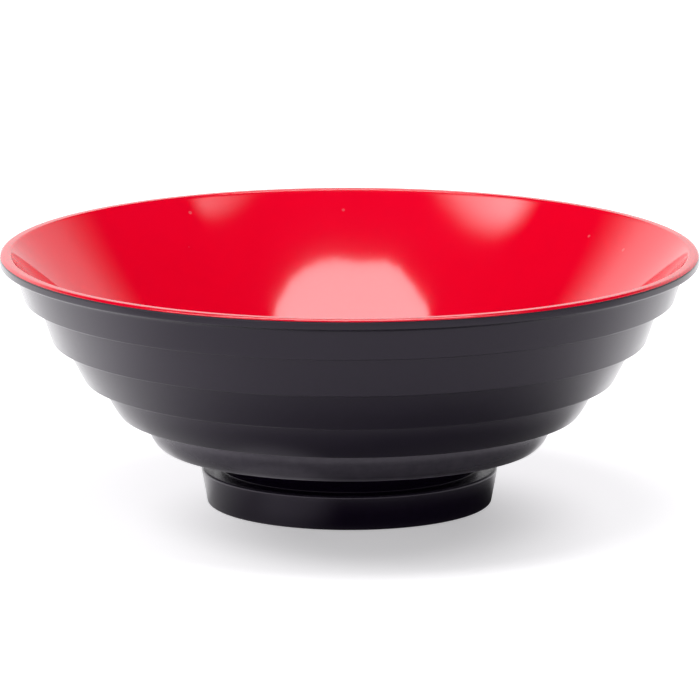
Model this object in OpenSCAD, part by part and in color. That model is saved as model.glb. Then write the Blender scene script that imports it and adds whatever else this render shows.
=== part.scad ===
// Two-colour melamine noodle bowl: a black stepped outside with a foot ring, and a red lining over the rim.
// Both pieces are turned about Z, and the table is at Z = 0. All sizes are in millimetres.

/* [Bowl] */
// Diameter over the lip
rim_diameter = 230; // [216:1:260]
// Height from the table to the top of the rim
bowl_height = 83.6; // [76:0.2:92]

/* [Lip] */
// Height of the lip's edge, black and red together
lip_height = 3.4; // [3.1:0.1:4.2]
// Width of the lip's top from its outer edge to the inside wall
lip_width = 3.5; // [3:0.1:4]
// Round on the lip's upper outer edge
lip_top_round = 1.4; // [0.8:0.1:1.6]
// Round on the lip's lower outer edge
lip_round = 0.8; // [0.5:0.1:1.2]
// Round where the lip's top turns into the inside wall
lip_inner_round = 1; // [0.5:0.1:1.5]
// Distance of the first step's face in from the lip's edge, under the lip
lip_overhang = 4.6; // [4.2:0.1:5]
// Fall of the lip's underside towards the first step, in degrees
lip_draft = 8; // [4:1:12]
// Fillet between the lip's underside and the face of the first step
lip_fillet = 2.2; // [1.2:0.1:2.6]

/* [Steps] */
// Number of steps down the outside
step_count = 5; // [4:1:6]
// Distance of the first step's edge in from the lip
first_step_inset = 8; // [7:0.1:9.5]
// Distance of the first step's edge down from the rim
first_step_drop = 14.8; // [13:0.1:17]
// Distance of the last step's edge in from the lip
last_step_inset = 52; // [49:0.2:56]
// Height of the last step's edge above the table
last_step_height = 19.8; // [17:0.1:23]
// Radius of the arc on which the step edges lie
step_arc_radius = 168; // [145:1:240]
// Lean from which the faces lean more at their lower edge, step by step, in degrees
upper_lean = 9; // [6:1:14]
// Lean of the last step's face from the upright at its lower edge, in degrees
last_lean = 50; // [44:1:54]
// Lean that the top of a face gains with each step above the last, whose top is upright, in degrees
top_lean = 12; // [8:1:16]
// Round on the step edges
edge_round = 0.5; // [0.3:0.1:0.8]
// Fillet between a ledge and the face under it
ledge_fillet = 1.5; // [0.6:0.1:2]

/* [Foot] */
// Diameter of the foot ring at its top
foot_diameter = 98; // [90:0.2:104]
// Height of the foot ring
foot_height = 11.7; // [9:0.1:13]
// Narrowing of the foot ring's outside from top to table, on the radius
foot_taper = 2.2; // [0:0.1:3]
// Width of the foot ring where it meets the table
foot_width = 5.4; // [4:0.1:7]
// Depth of the groove above the foot ring
neck_depth = 6.4; // [4:0.1:7]
// Lean of the groove's wall from the upright, outward from the foot ring to the last step, in degrees
neck_lean = 30; // [20:1:36]
// Lean of the recess wall inside the foot ring, on the radius
recess_taper = 4; // [2:0.1:6]
// Round on the foot ring's edges
foot_round = 0.8; // [0.3:0.1:1.6]
// Fillet in the groove and in the recess under the bowl
foot_fillet = 1.5; // [0.5:0.1:2.5]

/* [Inside] */
// Least thickness of the wall beside the ledges
wall_thickness = 2.7; // [2.4:0.1:3.6]
// Least thickness of the wall beside the fillet under the lip
lip_wall = 2.1; // [1.9:0.1:2.3]
// Thickness of the base over the recess
base_thickness = 4.5; // [3.5:0.1:6]
// Height of the inside floor above the last step's edge
floor_rise = 3.1; // [2.5:0.1:6]
// Radius of the slow curve of the inside wall
wall_bow_radius = 500; // [350:10:900]
// Radius of the bend from the floor to the wall
floor_bend_radius = 55; // [40:1:65]

/* [Lining] */
// Thickness of the red lining
liner_thickness = 1; // [0.8:0.1:1.1]
// Thickness of the red cap where the lining turns over the rim
cap_thickness = 0.8; // [0.6:0.1:1.2]
// Distance of the seam between red and black below the top of the rim
seam_drop = 0.3; // [0.2:0.05:0.5]

/* [Hidden] */
$fn = 144;
BLACK = "#2a272d";
RED = "#e6002b";
ARC_STEP = 12;
FACE_STEPS = 5;
WALL_STEPS = 16;
WALL_ANGLE = 50;

rim_radius = rim_diameter / 2;
cap_underside = bowl_height - cap_thickness;
lip_underside = bowl_height - lip_height;

// The step edges lie evenly spaced on one arc between the first edge and the last
first_edge = [rim_radius - first_step_inset, bowl_height - first_step_drop];
last_edge = [rim_radius - last_step_inset, last_step_height];
edge_chord = first_edge - last_edge;
edge_across = [-edge_chord.y, edge_chord.x] / norm(edge_chord);
edge_reach = sqrt(step_arc_radius * step_arc_radius - edge_chord * edge_chord / 4);
edge_centre = (first_edge + last_edge) / 2 + edge_across * edge_reach;
first_angle = direction(first_edge - edge_centre);
last_angle = direction(last_edge - edge_centre);

// Round on top of the lip, and the seam between red and black on it
lip_centre = [rim_radius - lip_top_round, bowl_height - lip_top_round];
seam_angle = asin(1 - seam_drop / lip_top_round);

// First face, from the corner under the lip to its edge, and the fillet in that corner
lip_corner = [rim_radius, lip_underside];
first_top = lip_corner - lip_overhang * [1, tan(lip_draft)];
fillet_centre = corner_centre(lip_corner, first_top, first_edge, lip_fillet);

// Foot ring, groove and recess
foot_radius = foot_diameter / 2;
neck_radius = foot_radius - neck_depth;
neck_top_radius = neck_radius + (last_step_height - foot_height) * tan(neck_lean);
foot_base_radius = foot_radius - foot_taper;
recess_radius = foot_base_radius - foot_width;
floor_height = last_step_height + floor_rise;
recess_height = floor_height - base_thickness;

// The inside wall runs from the rim into the bend of the floor, clear of the lip's fillet and of every ledge
rim_corner = [rim_radius - lip_width, bowl_height];
into_wall = unit_at(WALL_ANGLE + 90);
lip_slope = slope_past(fillet_centre + (lip_fillet + lip_wall) * into_wall);
ledge_slopes = [for (k = [1:step_count - 1]) slope_past(face_top(k) + wall_thickness * into_wall)];
rim_slope = min(lip_slope, min(ledge_slopes));
wall_centre = rim_corner + wall_bow_radius * [-sin(rim_slope), cos(rim_slope)];
bend_level = floor_height + floor_bend_radius;
bend_slope = acos((wall_centre.y - bend_level) / (wall_bow_radius - floor_bend_radius));
bend_centre = [wall_centre.x + (wall_bow_radius - floor_bend_radius) * sin(bend_slope), bend_level];

function direction(v) = atan2(v.y, v.x);
function unit(v) = v / norm(v);

// Points along an arc
function arc(centre, radius, from, to, steps) =
    [for (i = [0:steps]) let (a = from + (to - from) * i / steps) centre + radius * [cos(a), sin(a)]];

// Centre of the arc that rounds the corner b between its neighbours a and c, and the arc itself
function half_corner(a, b, c) = acos(unit(a - b) * unit(c - b)) / 2;
function corner_centre(a, b, c, radius) =
    b + unit(unit(a - b) + unit(c - b)) * radius / sin(half_corner(a, b, c));
function round_corner(a, b, c, radius) =
    let (centre = corner_centre(a, b, c, radius))
    let (reach = radius / tan(half_corner(a, b, c)))
    let (from = direction(b + unit(a - b) * reach - centre))
    let (to = direction(b + unit(c - b) * reach - centre))
    let (turn = (to - from + 900) % 360 - 180)
    arc(centre, radius, from, from + turn, max(2, ceil(abs(turn) / ARC_STEP)));

function flat_point(p) = [p.x, p.y];

// Outline of a path of [radius, height, corner round], with its two ends left sharp
function rounded(path) = [
    for (i = [0:len(path) - 1])
        let (inside = i > 0 && i < len(path) - 1)
        each inside && path[i].z > 0
            ? round_corner(flat_point(path[i - 1]), flat_point(path[i]), flat_point(path[i + 1]), path[i].z)
            : [flat_point(path[i])]
];

// Lower edge of step k, counted from 0 under the lip
function step_edge(k) =
    edge_centre + step_arc_radius * unit_at(first_angle + (last_angle - first_angle) * k / (step_count - 1));
function unit_at(angle) = [cos(angle), sin(angle)];

// Leans of the face of step k at its lower edge and at its top
function low_lean(k) = upper_lean + (last_lean - upper_lean) * k / (step_count - 1);
function high_lean(k) = min(top_lean * (step_count - 1 - k), low_lean(k) - 1);

// Radius of the bow of the face of step k, and the point on it with a given lean
function face_bow(k) = (step_edge(k - 1).y - step_edge(k).y) / (sin(low_lean(k)) - sin(high_lean(k)));
function face_point(k, lean) =
    step_edge(k) + face_bow(k) * [cos(lean) - cos(low_lean(k)), sin(low_lean(k)) - sin(lean)];
function face_top(k) = face_point(k, high_lean(k));

// Path of the face of step k, from the ledge above it to its own edge
function face_path(k) = [
    for (i = [0:FACE_STEPS])
        let (p = face_point(k, high_lean(k) + (low_lean(k) - high_lean(k)) * i / FACE_STEPS))
        [p.x, p.y, i == 0 ? ledge_fillet : i == FACE_STEPS ? edge_round : 0]
];

// Slope at the rim of an inside wall that passes through a mark
function slope_past(mark) =
    let (run = rim_corner - mark)
    direction(run) + asin(norm(run) / (2 * wall_bow_radius));

// Inside curve from the axis to the rim, moved outward by an offset into the wall
function inside_curve(offset) = concat(
    [[0, floor_height - offset]],
    arc(bend_centre, floor_bend_radius + offset, -90, bend_slope - 90, WALL_STEPS),
    arc(wall_centre, wall_bow_radius + offset, bend_slope - 90, rim_slope - 90, WALL_STEPS)
);

// Joint between lining and shell, from the axis up under the cap, which thins towards the seam
function joint_curve() =
    let (curve = [for (p = inside_curve(liner_thickness)) if (p.y < cap_underside) p])
    let (top = curve[len(curve) - 1])
    concat(curve, [[top.x + (cap_underside - top.y) / tan(rim_slope), cap_underside]]);

// Round on top of the lip between two angles, split by the seam
function lip_arc(from, to) = arc(lip_centre, lip_top_round, from, to, ceil(abs(to - from) / ARC_STEP));

function reversed(list) = [for (i = [len(list) - 1:-1:0]) list[i]];

// Outside of the shell, from the seam down over the steps, the groove and the foot to the axis
function shell_outline() = rounded(concat(
    [for (p = lip_arc(seam_angle, 0)) [p.x, p.y, 0]],
    [
        [lip_corner.x, lip_corner.y, lip_round],
        [first_top.x, first_top.y, lip_fillet],
        [first_edge.x, first_edge.y, edge_round]
    ],
    [for (k = [1:step_count - 1]) each face_path(k)],
    [
        [neck_top_radius, last_step_height, foot_fillet],
        [neck_radius, foot_height, foot_fillet],
        [foot_radius, foot_height, foot_round],
        [foot_base_radius, 0, foot_round],
        [recess_radius, 0, foot_round],
        [recess_radius - recess_taper, recess_height, foot_fillet],
        [0, recess_height, 0]
    ]
));

// Inside of the lining and the top of the lip, out to the seam
function liner_outline() =
    let (curve = inside_curve(0))
    let (wall_top = curve[len(curve) - 2])
    concat(
        [for (i = [0:len(curve) - 2]) curve[i]],
        round_corner(wall_top, rim_corner, [rim_radius, bowl_height], lip_inner_round),
        lip_arc(90, seam_angle)
    );

// Black moulding with the lip's edge, the steps, the groove and the foot ring
module outer_shell() {
    color(BLACK)
        rotate_extrude()
            polygon(concat(shell_outline(), joint_curve()));
}

// Red moulding that lines the bowl and caps its rim
module inner_liner() {
    color(RED)
        rotate_extrude()
            polygon(concat(liner_outline(), reversed(joint_curve())));
}

outer_shell();
inner_liner();
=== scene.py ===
"""Melamine noodle bowl: satin black stepped outside, glossy red lining, on a white studio floor."""
import math

import bmesh
import bpy
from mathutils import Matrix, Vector


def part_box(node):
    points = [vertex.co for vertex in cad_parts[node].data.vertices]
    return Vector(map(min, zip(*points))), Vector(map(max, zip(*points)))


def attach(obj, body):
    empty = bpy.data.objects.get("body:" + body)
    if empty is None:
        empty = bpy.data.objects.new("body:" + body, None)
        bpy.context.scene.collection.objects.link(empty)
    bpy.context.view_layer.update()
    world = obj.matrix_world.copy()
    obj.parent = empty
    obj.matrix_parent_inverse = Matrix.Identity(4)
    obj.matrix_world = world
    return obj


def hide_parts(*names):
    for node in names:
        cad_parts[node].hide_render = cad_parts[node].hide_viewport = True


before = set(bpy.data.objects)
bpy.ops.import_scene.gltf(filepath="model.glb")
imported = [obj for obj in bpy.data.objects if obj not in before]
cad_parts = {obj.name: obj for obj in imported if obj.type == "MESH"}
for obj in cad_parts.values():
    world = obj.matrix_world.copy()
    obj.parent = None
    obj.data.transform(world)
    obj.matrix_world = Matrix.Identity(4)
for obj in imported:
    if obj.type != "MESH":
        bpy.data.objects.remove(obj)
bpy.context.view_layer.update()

MM = 0.001
QUARTER = math.pi / 2

# All sizes of the bowl are in millimetres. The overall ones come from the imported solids
_, shell_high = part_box("outer_shell")
_, liner_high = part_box("inner_liner")
RIM_RADIUS = shell_high.x / MM
BOWL_HEIGHT = liner_high.z / MM

# Lip
LIP_HEIGHT = 3.4
LIP_WIDTH = 3.5
LIP_TOP_ROUND = 1.4
LIP_ROUND = 0.8
LIP_INNER_ROUND = 1.0
LIP_OVERHANG = 4.6
LIP_DRAFT = math.radians(8)
LIP_FILLET = 2.2
SEAM_DROP = 0.75
SEAM_ROUND = 0.05

# Steps: leans are measured from upright, and a face bows from one at its top to a greater one below
STEP_COUNT = 5
FIRST_STEP_INSET = 8.0
FIRST_STEP_DROP = 14.8
LAST_STEP_INSET = 52.0
LAST_STEP_HEIGHT = 19.8
STEP_ARC_RADIUS = 168.0
UPPER_LEAN = math.radians(9)
LAST_LEAN = math.radians(50)
TOP_LEAN = math.radians(12)
LAST_TOP_LEAN = math.radians(-15)
LEAST_BOW = math.radians(1)
EDGE_ROUND = 0.5
LEDGE_FILLET = 1.5
LAST_LEDGE_FILLET = 0.4

# Foot
FOOT_RADIUS = 49.0
FOOT_HEIGHT = 11.7
FOOT_TAPER = 2.2
FOOT_WIDTH = 5.4
NECK_DEPTH = 6.4
NECK_LEAN = math.radians(30)
RECESS_TAPER = 4.0
FOOT_ROUND = 0.8
FOOT_FILLET = 1.5
GROOVE_FILLET = 0.12

# Inside
WALL_THICKNESS = 2.7
LIP_WALL = 2.1
WALL_ANGLE = math.radians(50)
BASE_THICKNESS = 4.5
FLOOR_RISE = 3.1
WALL_BOW_RADIUS = 500.0
FLOOR_BEND_RADIUS = 55.0
LINER_THICKNESS = 1.0
CAP_THICKNESS = 0.8

# Fineness of the meshes
TURNS = 288
ARC_STEP = math.radians(7)
LEAST_ARC_STEPS = 3
FACE_STEPS = 12
CURVE_STEPS = 48
LONGEST_RUN = 1.5
SHARP_ANGLE = math.radians(40)
AXIS_TOLERANCE = 1e-6

# Wear and painted highlight from 0 to 1, and how far they reach. The lowest face has a painted
# highlight, strongest at its top, and the lowest edge a painted highlight on top of its wear
WEAR_AND_HIGHLIGHT_REACH = 0.9
STEP_WEAR = 0.02
LAST_EDGE_WEAR_AND_HIGHLIGHT = 0.95
LAST_FACE_PAINTED_HIGHLIGHT = (0.46, 0.12)
LIP_WEAR = 0.035
FOOT_WEAR = 0.07
RED_LIP_WEAR = 1

# Noises, with scales per metre, and the part of their range that is used
MIDDLE = (0.3, 0.7)
PATCH_MIDDLE = (0.35, 0.7)
BLACK_CLOUD = dict(scale=28.0, detail=4.0)
BLACK_PATCH = dict(scale=210.0, detail=4.0, roughness=0.6)
BLACK_GRAIN = dict(scale=2600.0, detail=2.0)
RED_CLOUD = dict(scale=22.0, detail=3.0)
RED_WAVE = dict(scale=160.0, detail=2.0)

# Black melamine
BLACK_DARK = (0.0042, 0.0016, 0.0082, 1)
BLACK_LIGHT = (0.0054, 0.0026, 0.0098, 1)
BLACK_WEAR_AND_HIGHLIGHT = (0.16, 0.147, 0.173, 1)
BLACK_WEAR_AND_HIGHLIGHT_MOST = 0.9
BLACK_WEAR_AND_HIGHLIGHT_PATCHES = (0.75, 1.0)
BLACK_CLOUD_SHARE = 0.6
BLACK_ROUGHNESS = (0.17, 0.23)
BLACK_POLISH = 0.05
BLACK_IOR = 1.5
BLACK_TINT = (0.94, 0.87, 1.0, 1)
GRAIN_STRENGTH = 0.10
GRAIN_DEPTH = 0.00005

# Red melamine
RED_DARK = (0.93, 0.0004, 0.024, 1)
RED_LIGHT = (0.96, 0.0007, 0.028, 1)
RED_SPECK = (0.9, 0.25, 0.27, 1)
SPECK_SCALE = 95.0
SPECK_CHOICE = (0.6, 0.61)
SPECK_EDGE = (0.05, 0.075)
SPECK_SHOW = 0.45
RED_ROUGHNESS = (0.045, 0.06)
RED_SCUFF = 0.05
RED_IOR = 1.65
WAVE_STRENGTH = 0.012
WAVE_DEPTH = 0.0002

# Floor, in metres like the rest of the stage, and the soft shadow that the camera sees on it
FLOOR_RADIUS = 4.0
FLOOR_SIDES = 96
FLOOR_GAP = 0.0001
FLOOR_WHITE = 0.82
FLOOR_TINT = (1.0, 0.985, 1.01, 1)
FLOOR_SHADE = 0.35
FLOOR_LIT = 0.73
SHADOW_STRETCH = (1, 0.75, 1)
SHADOW_CENTRE = (0.009, -0.029, 0)
SHADOW_REACH = (0.024, 0.083)

# The floor as the bowl mirrors it: white behind, dimmer in front and in the shade
FLOOR_TURN = math.radians(10)
FLOOR_BEHIND = (-0.01, 0.03)
FLOOR_BACK = (-0.16, 0.03)
FLOOR_DIM = 0.3
SHADE_CENTRE = (0.03, -0.05, 0)
SHADE_REACH = (0.04, 0.175)

# Also mirrored: painted light on the far left, a painted pool of light left of the foot, and painted
# shade close to its right
LEFT_REACH = (-0.17, -0.14)
LEFT_GLOW = 1.25
POOL_CENTRE = (-0.032, -0.06, 0)
POOL_REACH = (0.03, 0.01)
POOL_GLOW = 0.35
CONTACT_CENTRE = (0, 0, 0)
CONTACT_REACH = (0.068, 0.056)
CONTACT_TURN = (-0.035, 0.0)
CONTACT_PAINTED_SHADE = 0.1

# Walls of the studio
WALL_TOP = math.radians(24)
WALL_FADE = math.radians(38.5)
CEILING = 0.004
WALL_LEFT = 1.35
WALL_RIGHT = 0.8
WALL_TURN = 0.6

# Softboxes: each light is a pair of places along X with the strength there
CEILING_HEIGHT = 1.2
TOP_LIGHT = ((-1, 5.9), (1, 5.9))
TOP_FRONT = [
    (-0.445, -0.005), (-0.41, -0.05), (-0.33, -0.12), (-0.25, -0.175), (-0.18, -0.205),
    (-0.11, -0.217), (0.0, -0.225), (0.07, -0.225), (0.15, -0.21), (0.22, -0.185),
    (0.30, -0.14), (0.38, -0.07), (0.43, -0.005),
]
TOP_BACK = [(0.43, 0.20), (0.20, 0.38), (-0.20, 0.38), (-0.445, 0.20)]
LEFT_BOX = dict(
    start=(-0.347, -0.261), end=(-0.866, 0.208), depth=0.35,
    light=((-0.45, 2.6), (-0.70, 4.7)), edge_fade=0.055, end_fade=0.23,
)
RIGHT_BOX = dict(
    start=(0.358, -0.267), end=(0.728, 0.039), depth=0.30,
    light=((0.42, 0.5), (0.64, 2.0)), edge_fade=0.032, end_fade=0.12,
)

# Camera
FOCAL_PIXELS = 10000
IMAGE_WIDTH = 700
SENSOR = 36.0
CAMERA_DISTANCE = 3.295
CAMERA_RISE = math.radians(11.68)
CAMERA_TARGET = Vector((0, 0, 0.0412))
CAMERA_TILT = 27.55 / FOCAL_PIXELS
CAMERA_TURN = -0.6 / FOCAL_PIXELS


def direction(v):
    """Angle of a vector in the plane of the outline."""
    return math.atan2(v.y, v.x)


def at_angle(angle):
    """Unit vector at an angle in the plane of the outline."""
    return Vector((math.cos(angle), math.sin(angle)))


def arc(centre, radius, start, end, steps):
    """Points along an arc."""
    angles = [start + (end - start) * i / steps for i in range(steps + 1)]
    return [centre + radius * at_angle(angle) for angle in angles]


def half_corner(a, b, c):
    """Half the angle of the corner b between its neighbours a and c."""
    return (a - b).angle(c - b) / 2


def corner_centre(a, b, c, radius):
    """Centre of the arc that rounds the corner b."""
    middle = ((a - b).normalized() + (c - b).normalized()).normalized()
    return b + middle * radius / math.sin(half_corner(a, b, c))


def round_corner(a, b, c, radius):
    """Arc that rounds the corner b between its neighbours a and c."""
    centre = corner_centre(a, b, c, radius)
    reach = radius / math.tan(half_corner(a, b, c))
    start = direction(b + (a - b).normalized() * reach - centre)
    end = direction(b + (c - b).normalized() * reach - centre)
    turn = (end - start + math.pi) % math.tau - math.pi
    steps = max(LEAST_ARC_STEPS, math.ceil(abs(turn) / ARC_STEP))
    return arc(centre, radius, start, start + turn, steps)


def rounded(path):
    """Outline and points of wear and painted highlight of a path of (radius, height, corner round, wear
    and painted highlight).
    """
    corners = [Vector(step[:2]) for step in path]
    outline, worn_and_highlit = [], []
    for i, (_, _, radius, wear_and_highlight) in enumerate(path):
        inner = 0 < i < len(path) - 1
        if inner and radius:
            points = round_corner(*corners[i - 1:i + 2], radius)
        else:
            points = [corners[i]]
        outline += points
        worn_and_highlit += [(p, wear_and_highlight) for p in points if wear_and_highlight]
    return outline, worn_and_highlit


# The step edges lie evenly spaced on one arc
lip_underside = BOWL_HEIGHT - LIP_HEIGHT
cap_underside = BOWL_HEIGHT - CAP_THICKNESS
first_edge = Vector((RIM_RADIUS - FIRST_STEP_INSET, BOWL_HEIGHT - FIRST_STEP_DROP))
last_edge = Vector((RIM_RADIUS - LAST_STEP_INSET, LAST_STEP_HEIGHT))
edge_chord = first_edge - last_edge
edge_across = Vector((-edge_chord.y, edge_chord.x)).normalized()
edge_reach = math.sqrt(STEP_ARC_RADIUS ** 2 - edge_chord.length_squared / 4)
edge_centre = (first_edge + last_edge) / 2 + edge_across * edge_reach
first_angle = direction(first_edge - edge_centre)
last_angle = direction(last_edge - edge_centre)

# Round on top of the lip, and the seam between red and black on it
lip_centre = Vector((RIM_RADIUS - LIP_TOP_ROUND, BOWL_HEIGHT - LIP_TOP_ROUND))
seam_angle = math.asin(1 - SEAM_DROP / LIP_TOP_ROUND)

# First face, from the corner under the lip to its edge, and the fillet in that corner
lip_corner = Vector((RIM_RADIUS, lip_underside))
first_top = lip_corner - LIP_OVERHANG * Vector((1, math.tan(LIP_DRAFT)))
fillet_centre = corner_centre(lip_corner, first_top, first_edge, LIP_FILLET)

# Foot ring, groove and recess
neck_radius = FOOT_RADIUS - NECK_DEPTH
neck_top_radius = neck_radius + (LAST_STEP_HEIGHT - FOOT_HEIGHT) * math.tan(NECK_LEAN)
foot_base_radius = FOOT_RADIUS - FOOT_TAPER
recess_radius = foot_base_radius - FOOT_WIDTH
floor_height = LAST_STEP_HEIGHT + FLOOR_RISE
recess_height = floor_height - BASE_THICKNESS


def step_edge(k):
    """Lower edge of step k, counted from 0 under the lip."""
    share = k / (STEP_COUNT - 1)
    angle = first_angle + (last_angle - first_angle) * share
    return edge_centre + STEP_ARC_RADIUS * at_angle(angle)


def low_lean(k):
    """Lean of the face of step k at its lower edge."""
    return UPPER_LEAN + (LAST_LEAN - UPPER_LEAN) * k / (STEP_COUNT - 1)


def high_lean(k):
    """Lean of the face of step k at its top."""
    if k == STEP_COUNT - 1:
        return LAST_TOP_LEAN
    return min(TOP_LEAN * (STEP_COUNT - 1 - k), low_lean(k) - LEAST_BOW)


def face_point(k, lean):
    """Point with a given lean on the bowed face of step k."""
    low = low_lean(k)
    rise = step_edge(k - 1).y - step_edge(k).y
    bow = rise / (math.sin(low) - math.sin(high_lean(k)))
    from_edge = Vector((math.cos(lean) - math.cos(low), math.sin(low) - math.sin(lean)))
    return step_edge(k) + bow * from_edge


def face_path(k):
    """Path of the face of step k, from the ledge above it to its own edge."""
    path = []
    last = k == STEP_COUNT - 1
    # On the lowest step the edge carries a painted highlight on top of its wear, and the face a painted
    # highlight that fades downwards
    wear_and_painted_highlight = LAST_EDGE_WEAR_AND_HIGHLIGHT if last else STEP_WEAR
    ledge = LAST_LEDGE_FILLET if last else LEDGE_FILLET
    top_painted_highlight, low_painted_highlight = LAST_FACE_PAINTED_HIGHLIGHT if last else (0, 0)
    for i in range(FACE_STEPS + 1):
        share = i / FACE_STEPS
        lean = high_lean(k) + (low_lean(k) - high_lean(k)) * share
        at_edge = i == FACE_STEPS
        corner = ledge if i == 0 else EDGE_ROUND if at_edge else 0
        wear_and_highlight = wear_and_painted_highlight if at_edge else top_painted_highlight + (low_painted_highlight - top_painted_highlight) * share
        path.append((*face_point(k, lean), corner, wear_and_highlight))
    return path


def slope_past(mark):
    """Slope at the rim of an inside wall that passes through a mark."""
    run = rim_corner - mark
    return direction(run) + math.asin(run.length / (2 * WALL_BOW_RADIUS))


# The inside wall runs from the rim into the floor's bend, clear of the lip's fillet and every ledge
rim_corner = Vector((RIM_RADIUS - LIP_WIDTH, BOWL_HEIGHT))
into_wall = at_angle(WALL_ANGLE + QUARTER)
ledge_corners = [face_point(k, high_lean(k)) for k in range(1, STEP_COUNT)]
marks = [corner + WALL_THICKNESS * into_wall for corner in ledge_corners]
marks.append(fillet_centre + (LIP_FILLET + LIP_WALL) * into_wall)
rim_slope = min(slope_past(mark) for mark in marks)
to_wall_centre = Vector((-math.sin(rim_slope), math.cos(rim_slope)))
wall_centre = rim_corner + WALL_BOW_RADIUS * to_wall_centre
bend_level = floor_height + FLOOR_BEND_RADIUS
bend_reach = WALL_BOW_RADIUS - FLOOR_BEND_RADIUS
bend_slope = math.acos((wall_centre.y - bend_level) / bend_reach)
bend_centre = Vector((wall_centre.x + bend_reach * math.sin(bend_slope), bend_level))


def inside_curve(offset):
    """Inside curve from the axis to the rim, moved by an offset into the wall."""
    floor_end, bend_end, rim_end = -QUARTER, bend_slope - QUARTER, rim_slope - QUARTER
    bend = arc(bend_centre, FLOOR_BEND_RADIUS + offset, floor_end, bend_end, CURVE_STEPS)
    wall = arc(wall_centre, WALL_BOW_RADIUS + offset, bend_end, rim_end, CURVE_STEPS)
    return [Vector((0, floor_height - offset))] + bend + wall[1:]


def joint_curve():
    """Joint between lining and shell, from the axis up under the cap."""
    curve = [p for p in inside_curve(LINER_THICKNESS) if p.y < cap_underside]
    top = curve[-1]
    cap_radius = top.x + (cap_underside - top.y) / math.tan(rim_slope)
    return curve + [Vector((cap_radius, cap_underside))]


def lip_arc(start, end):
    """Part of the round on top of the lip, between two angles."""
    return arc(lip_centre, LIP_TOP_ROUND, start, end, math.ceil(abs(end - start) / ARC_STEP))


def shell_outline():
    """Closed outline of the black shell, and its points of wear and painted highlight."""
    joint = joint_curve()
    seam, *edge = lip_arc(seam_angle, 0)
    path = [(*joint[-1], 0, 0), (*seam, SEAM_ROUND, 0)]
    path += [(*p, 0, 0) for p in edge]
    path += [
        (*lip_corner, LIP_ROUND, LIP_WEAR),
        (*first_top, LIP_FILLET, 0),
        (*first_edge, EDGE_ROUND, STEP_WEAR),
    ]
    for k in range(1, STEP_COUNT):
        path += face_path(k)
    path += [
        (neck_top_radius, LAST_STEP_HEIGHT, GROOVE_FILLET, 0),
        (neck_radius, FOOT_HEIGHT, GROOVE_FILLET, 0),
        (FOOT_RADIUS, FOOT_HEIGHT, FOOT_ROUND, FOOT_WEAR),
        (foot_base_radius, 0, FOOT_ROUND, FOOT_WEAR),
        (recess_radius, 0, FOOT_ROUND, FOOT_WEAR),
        (recess_radius - RECESS_TAPER, recess_height, FOOT_FILLET, 0),
        (0, recess_height, 0, 0),
    ]
    outline, worn_and_highlit = rounded(path)
    return outline + joint[:-1], worn_and_highlit


def liner_outline():
    """Closed outline of the red lining with its cap over the rim, and its worn points."""
    joint = joint_curve()
    inside = inside_curve(0)[:-1]
    *top, seam = lip_arc(QUARTER, seam_angle)
    path = [(*inside[-1], 0, 0), (*rim_corner, LIP_INNER_ROUND, RED_LIP_WEAR)]
    path += [(*p, 0, RED_LIP_WEAR) for p in top]
    path += [(*seam, SEAM_ROUND, 0), (*joint[-1], 0, 0)]
    outline, worn_and_highlit = rounded(path)
    return inside[:-1] + outline + joint[-2::-1], worn_and_highlit


def divided(outline):
    """The outline with long runs split, so that shading stays even along it."""
    points = []
    for a, b in zip(outline, outline[1:]):
        pieces = max(1, math.ceil((b - a).length / LONGEST_RUN))
        points += [a.lerp(b, i / pieces) for i in range(pieces)]
    return points + [outline[-1]]


def add_object(name, bm):
    """Object in the scene with the faces of a bmesh, which is used up."""
    mesh = bpy.data.meshes.new(name)
    bm.to_mesh(mesh)
    bm.free()
    piece = bpy.data.objects.new(name, mesh)
    bpy.context.scene.collection.objects.link(piece)
    return piece


def lathe(name, outline, worn_and_highlit):
    """Closed smooth mesh turned about Z from a closed outline that touches the axis."""
    points = divided(outline + outline[:1])[:-1]
    bm = bmesh.new()
    wear_and_highlight = bm.verts.layers.float.new("wear_and_painted_highlight")
    rings = []
    for p in points:
        amount = max(most * math.exp(-((p - w).length / WEAR_AND_HIGHLIGHT_REACH) ** 2) for w, most in worn_and_highlit)
        ring = []
        for t in range(1 if p.x < AXIS_TOLERANCE else TURNS):
            turn = math.tau * t / TURNS
            vert = bm.verts.new((p.x * MM * math.cos(turn), p.x * MM * math.sin(turn), p.y * MM))
            vert[wear_and_highlight] = amount
            ring.append(vert)
        rings.append(ring)
    for ring, following in zip(rings, rings[1:] + rings[:1]):
        if len(ring) == 1 and len(following) == 1:
            continue
        for t in range(TURNS):
            after = (t + 1) % TURNS
            if len(ring) == 1:
                corners = (ring[0], following[after], following[t])
            elif len(following) == 1:
                corners = (ring[t], ring[after], following[0])
            else:
                corners = (ring[t], ring[after], following[after], following[t])
            bm.faces.new(corners).smooth = True
    bmesh.ops.recalc_face_normals(bm, faces=bm.faces)
    piece = add_object(name, bm)
    piece.data.set_sharp_from_angle(angle=SHARP_ANGLE)
    return piece


def grey(value):
    """Opaque grey of a given value."""
    return (value, value, value, 1)


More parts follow.
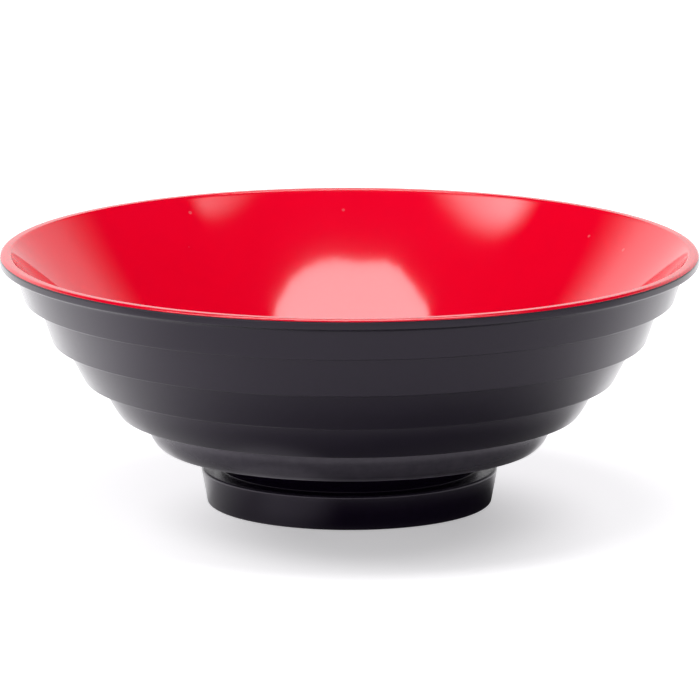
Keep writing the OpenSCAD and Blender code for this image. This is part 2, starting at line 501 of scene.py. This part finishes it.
class Nodes:
    """Shorthand for building the nodes of a material or world."""

    def __init__(self, owner, output="ShaderNodeOutputMaterial"):
        owner.use_nodes = True
        self.tree = owner.node_tree
        self.tree.nodes.clear()
        self.output = self.add(output)

    def add(self, kind, settings=None, **inputs):
        """A node with its properties set, and its inputs given as values or other nodes' outputs."""
        node = self.tree.nodes.new(kind)
        for key, value in (settings or {}).items():
            setattr(node, key, value)
        for key, value in inputs.items():
            self.set(node, key.replace("_", " "), value)
        return node

    def set(self, node, key, value):
        """Sets one input, by name or number, to a value or to another node's output."""
        socket = node.inputs[key]
        if isinstance(value, bpy.types.NodeSocket):
            self.tree.links.new(value, socket)
        else:
            socket.default_value = value

    def surface(self, shader):
        """Makes a shader the one that shows."""
        self.set(self.output, "Surface", shader.outputs[0])

    def place(self):
        """Place on the object, in metres."""
        return self.add("ShaderNodeTexCoord").outputs["Object"]

    def wear_and_highlight(self):
        """Wear and painted highlight that the mesh holds, from 0 to 1."""
        return self.add("ShaderNodeAttribute", {"attribute_name": "wear_and_painted_highlight"}).outputs["Fac"]

    def noise(self, place, scale, detail, roughness=0.5):
        """Noise from 0 to 1, mostly near its middle."""
        node = self.add("ShaderNodeTexNoise", Vector=place, Scale=scale)
        self.set(node, "Detail", detail)
        self.set(node, "Roughness", roughness)
        return node.outputs[0]

    def remap(self, value, low, high, to_low, to_high, ease="LINEAR"):
        """A value from one range to another, kept inside it."""
        node = self.add("ShaderNodeMapRange", {"clamp": True, "interpolation_type": ease})
        for i, entry in enumerate((value, low, high, to_low, to_high)):
            self.set(node, i, entry)
        return node.outputs[0]

    def smooth(self, value, low, high, to_low, to_high):
        """A value from one range to another, with an easy start and end."""
        return self.remap(value, low, high, to_low, to_high, "SMOOTHSTEP")

    def vector(self, operation, a, b):
        """Number made from two vectors by an operation."""
        node = self.add("ShaderNodeVectorMath", {"operation": operation})
        self.set(node, 0, a)
        self.set(node, 1, b)
        return node.outputs["Value"]

    def math(self, operation, a, b):
        """Two values joined by an operation."""
        node = self.add("ShaderNodeMath", {"operation": operation})
        self.set(node, 0, a)
        self.set(node, 1, b)
        return node.outputs[0]

    def mix(self, factor, a, b):
        """Colour mixed from a to b by a factor."""
        node = self.add("ShaderNodeMix", {"data_type": "RGBA"})
        for socket, entry in ((0, factor), (6, a), (7, b)):
            self.set(node, socket, entry)
        return node.outputs[2]


def black_melamine():
    """Satin moulded black with a fine grain, a mottled sheen, and paler, smoother worn places; the
    lowest face and edge are paler as a painted highlight.
    """
    material = bpy.data.materials.new("black_melamine")
    n = Nodes(material)
    place = n.place()
    cloud = n.noise(place, **BLACK_CLOUD)
    patch = n.noise(place, **BLACK_PATCH)
    grain = n.noise(place, **BLACK_GRAIN)
    # Paler and smoother where worn, and on the lowest face and edge as a painted highlight
    worn_and_highlit = n.math("MULTIPLY", n.wear_and_highlight(), n.remap(patch, *PATCH_MIDDLE, *BLACK_WEAR_AND_HIGHLIGHT_PATCHES))

    tone = n.mix(n.remap(cloud, *MIDDLE, 0.0, 1.0), BLACK_DARK, BLACK_LIGHT)
    colour = n.mix(n.math("MULTIPLY", worn_and_highlit, BLACK_WEAR_AND_HIGHLIGHT_MOST), tone, BLACK_WEAR_AND_HIGHLIGHT)

    cloud_part = n.math("MULTIPLY", cloud, BLACK_CLOUD_SHARE)
    patch_part = n.math("MULTIPLY", patch, 1 - BLACK_CLOUD_SHARE)
    sheen = n.remap(n.math("ADD", cloud_part, patch_part), *MIDDLE, *BLACK_ROUGHNESS)
    roughness = n.math("SUBTRACT", sheen, n.math("MULTIPLY", worn_and_highlit, BLACK_POLISH))

    bump = n.add("ShaderNodeBump", Strength=GRAIN_STRENGTH, Distance=GRAIN_DEPTH, Height=grain)
    shader = n.add("ShaderNodeBsdfPrincipled", Base_Color=colour, Roughness=roughness)
    n.set(shader, "IOR", BLACK_IOR)
    n.set(shader, "Specular Tint", BLACK_TINT)
    n.set(shader, "Normal", bump.outputs[0])
    n.surface(shader)
    return material


def red_melamine():
    """Polished red with a slight moulded waviness, a few pale specks and a duller lip."""
    material = bpy.data.materials.new("red_melamine")
    n = Nodes(material)
    place = n.place()
    cloud = n.noise(place, **RED_CLOUD)
    wave = n.noise(place, **RED_WAVE)

    cells = n.add("ShaderNodeTexVoronoi", {"feature": "F1"}, Vector=place, Scale=SPECK_SCALE)
    chance = n.add("ShaderNodeSeparateColor", Color=cells.outputs["Color"]).outputs[0]
    chosen = n.remap(chance, *SPECK_CHOICE, 0.0, 1.0)
    dot = n.remap(cells.outputs["Distance"], *SPECK_EDGE, 1.0, 0.0)
    speck = n.math("MULTIPLY", chosen, dot)

    tone = n.mix(n.remap(cloud, *MIDDLE, 0.0, 1.0), RED_DARK, RED_LIGHT)
    colour = n.mix(n.math("MULTIPLY", speck, SPECK_SHOW), tone, RED_SPECK)

    scuff = n.math("MULTIPLY", n.wear_and_highlight(), RED_SCUFF)
    roughness = n.math("ADD", n.remap(cloud, *MIDDLE, *RED_ROUGHNESS), scuff)

    bump = n.add("ShaderNodeBump", Strength=WAVE_STRENGTH, Distance=WAVE_DEPTH, Height=wave)
    shader = n.add("ShaderNodeBsdfPrincipled", Base_Color=colour, Roughness=roughness)
    n.set(shader, "IOR", RED_IOR)
    n.set(shader, "Normal", bump.outputs[0])
    n.surface(shader)
    return material


def flat_piece(name, corners, height):
    """Flat stage piece with the given corners."""
    bm = bmesh.new()
    bm.faces.new([bm.verts.new((x, y, height)) for x, y in corners])
    piece = add_object(name, bm)
    return piece


def make_floor():
    """White floor that keeps the shadow, shown white away from it and clear from below."""
    rim = [FLOOR_RADIUS * at_angle(math.tau * i / FLOOR_SIDES) for i in range(FLOOR_SIDES)]
    floor = flat_piece("studio_floor", rim, -FLOOR_GAP)
    material = bpy.data.materials.new("studio_white")
    n = Nodes(material)
    rays = n.add("ShaderNodeLightPath").outputs
    mirrored = n.math("MAXIMUM", rays["Is Glossy Ray"], rays["Is Transmission Ray"])
    place = n.place()
    to_right = n.add("ShaderNodeSeparateXYZ", Vector=place).outputs["X"]
    backwards = (-math.sin(FLOOR_TURN), math.cos(FLOOR_TURN), 0)
    to_back = n.vector("DOT_PRODUCT", place, backwards)

    # White for the camera, away from the shadow
    stretched = n.add("ShaderNodeMapping", Vector=place, Scale=SHADOW_STRETCH).outputs[0]
    from_shadow = n.vector("DISTANCE", stretched, SHADOW_CENTRE)
    seen = n.smooth(from_shadow, *SHADOW_REACH, FLOOR_SHADE, FLOOR_LIT)

    # White in reflections, away from the shade
    from_shade = n.vector("DISTANCE", place, SHADE_CENTRE)
    unshaded = n.smooth(from_shade, *SHADE_REACH, 0.0, 1.0)
    around = n.math("MULTIPLY", n.smooth(to_back, *FLOOR_BACK, FLOOR_DIM, 1.0), unshaded)
    reflected = n.math("MAXIMUM", around, n.smooth(to_back, *FLOOR_BEHIND, 0.0, 1.0))
    # Painted light in reflections: brighter on the far left, and a pool left of the foot
    left = n.remap(to_right, *LEFT_REACH, LEFT_GLOW, 1.0)
    from_pool = n.vector("DISTANCE", place, POOL_CENTRE)
    pool = n.smooth(from_pool, *POOL_REACH, 0.0, POOL_GLOW)
    reflected = n.math("ADD", n.math("MULTIPLY", reflected, left), pool)

    # Painted shade in reflections: the floor's colour is darker close to the right of the foot
    from_axis = n.vector("DISTANCE", place, CONTACT_CENTRE)
    close = n.smooth(from_axis, *CONTACT_REACH, 0.0, 1.0)
    painted_contact_shade = n.math("MULTIPLY", n.smooth(to_right, *CONTACT_TURN, 0.0, 1.0), close)
    dark = n.math("MULTIPLY", mirrored, painted_contact_shade)
    paint = n.add("ShaderNodeBsdfDiffuse", Color=n.mix(dark, grey(FLOOR_WHITE), grey(CONTACT_PAINTED_SHADE)))

    to_camera = n.math("MULTIPLY", rays["Is Camera Ray"], seen)
    glow = n.math("ADD", to_camera, n.math("MULTIPLY", mirrored, reflected))
    light = n.add("ShaderNodeEmission", Color=FLOOR_TINT, Strength=glow)
    both = n.add("ShaderNodeAddShader")
    n.set(both, 0, paint.outputs[0])
    n.set(both, 1, light.outputs[0])
    sides = n.add("ShaderNodeMixShader")
    n.set(sides, 0, n.add("ShaderNodeNewGeometry").outputs["Backfacing"])
    n.set(sides, 1, both.outputs[0])
    n.set(sides, 2, n.add("ShaderNodeBsdfTransparent").outputs[0])
    n.surface(sides)
    floor.data.materials.append(material)


def make_world():
    """White walls that fade into a dark ceiling, brighter on the left, and white for the camera."""
    world = bpy.data.worlds.new("studio")
    bpy.context.scene.world = world
    n = Nodes(world, "ShaderNodeOutputWorld")
    towards = n.add("ShaderNodeTexCoord").outputs["Generated"]
    split = n.add("ShaderNodeSeparateXYZ", Vector=towards).outputs
    fade = n.smooth(split["Z"], math.sin(WALL_TOP), math.sin(WALL_FADE), 1.0, CEILING)
    side = n.remap(split["X"], -WALL_TURN, WALL_TURN, WALL_LEFT, WALL_RIGHT)
    to_camera = n.add("ShaderNodeLightPath").outputs["Is Camera Ray"]
    colour = n.math("MAXIMUM", to_camera, n.math("MULTIPLY", fade, side))
    n.surface(n.add("ShaderNodeBackground", Color=colour))


def softbox(name, corners, light, fades=()):
    """Flat light under the ceiling, hidden from the camera, with faded edges where given."""
    panel = flat_piece(name, corners, CEILING_HEIGHT)
    material = bpy.data.materials.new(name)
    n = Nodes(material)
    place = n.place()
    along = n.add("ShaderNodeSeparateXYZ", Vector=place).outputs["X"]
    (start, start_strength), (end, end_strength) = light
    strength = n.remap(along, start, end, start_strength, end_strength)
    for across, dark, lit in fades:
        reached = n.vector("DOT_PRODUCT", place, across.to_3d())
        strength = n.math("MULTIPLY", strength, n.smooth(reached, dark, lit, 0.0, 1.0))
    n.surface(n.add("ShaderNodeEmission", Strength=strength))
    panel.data.materials.append(material)
    panel.visible_camera = False


def side_softbox(name, start, end, depth, light, edge_fade, end_fade):
    """Softbox outwards from the line between start and end, faded along that line and at its end."""
    a, b = Vector(start), Vector(end)
    along = (b - a).normalized()
    out = Vector((-along.y, along.x))
    if out.dot(a + b) < 0:
        out.negate()
    line_fade = (out, out.dot(a), out.dot(a) + edge_fade)
    far_fade = (along, along.dot(b), along.dot(b) - end_fade)
    corners = [a, b, b + depth * out, a + depth * out]
    softbox(name, corners, light, [line_fade, far_fade])


def make_camera():
    """Long lens at the photograph's viewing angle, aimed a little above the bowl's middle."""
    data = bpy.data.cameras.new("camera")
    data.sensor_width = SENSOR
    data.lens = FOCAL_PIXELS / IMAGE_WIDTH * SENSOR
    camera = bpy.data.objects.new("camera", data)
    away = Vector((0, -math.cos(CAMERA_RISE), math.sin(CAMERA_RISE)))
    camera.location = CAMERA_TARGET + CAMERA_DISTANCE * away
    camera.rotation_euler = (QUARTER - CAMERA_RISE + CAMERA_TILT, 0, CAMERA_TURN)
    bpy.context.scene.collection.objects.link(camera)
    bpy.context.scene.camera = camera


bpy.context.scene.view_settings.view_transform = "Standard"

shell = lathe("black_shell", *shell_outline())
shell.data.materials.append(black_melamine())
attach(shell, "root")
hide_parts("outer_shell")

lining = lathe("red_lining", *liner_outline())
lining.data.materials.append(red_melamine())
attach(lining, "root")
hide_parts("inner_liner")

make_floor()
make_world()
softbox("top_softbox", TOP_FRONT + TOP_BACK, TOP_LIGHT)
side_softbox("left_softbox", **LEFT_BOX)
side_softbox("right_softbox", **RIGHT_BOX)
make_camera()
